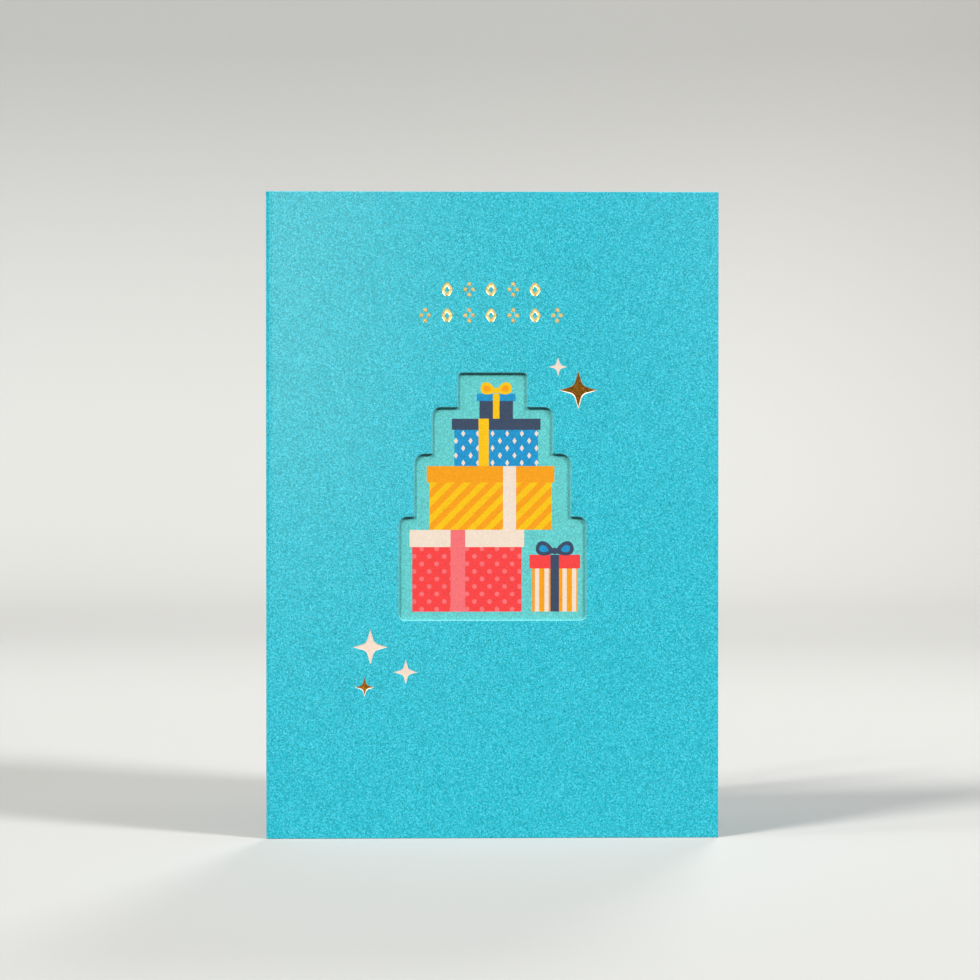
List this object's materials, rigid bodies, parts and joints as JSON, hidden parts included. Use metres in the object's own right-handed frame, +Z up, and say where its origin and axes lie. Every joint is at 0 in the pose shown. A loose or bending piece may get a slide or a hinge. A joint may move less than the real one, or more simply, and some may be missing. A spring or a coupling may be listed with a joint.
{
  "type": "window greeting card",
  "caption": "Folded greeting card that stands open, with a stepped die-cut window in its front and a printed panel glued behind it.",
  "frame": {"origin": "on the table, under the middle of the box that the standing card takes up", "axes": "+Z up along the fold, the front panel faces -Y, the fold is on the -X side and the two cut fore-edges are towards +X"},
  "size_m": [0.105, 0.0684, 0.15],
  "materials": {
    "cover_board": "satin turquoise pearl board, with gold foil and cream stamping on the front",
    "panel_sheet": "matte pale teal sheet, printed in flat colours behind the window"
  },
  "bodies": {
    "root": {"folded_cover": "cover_board", "printed_panel": "panel_sheet"}
  },
  "joints": []
}
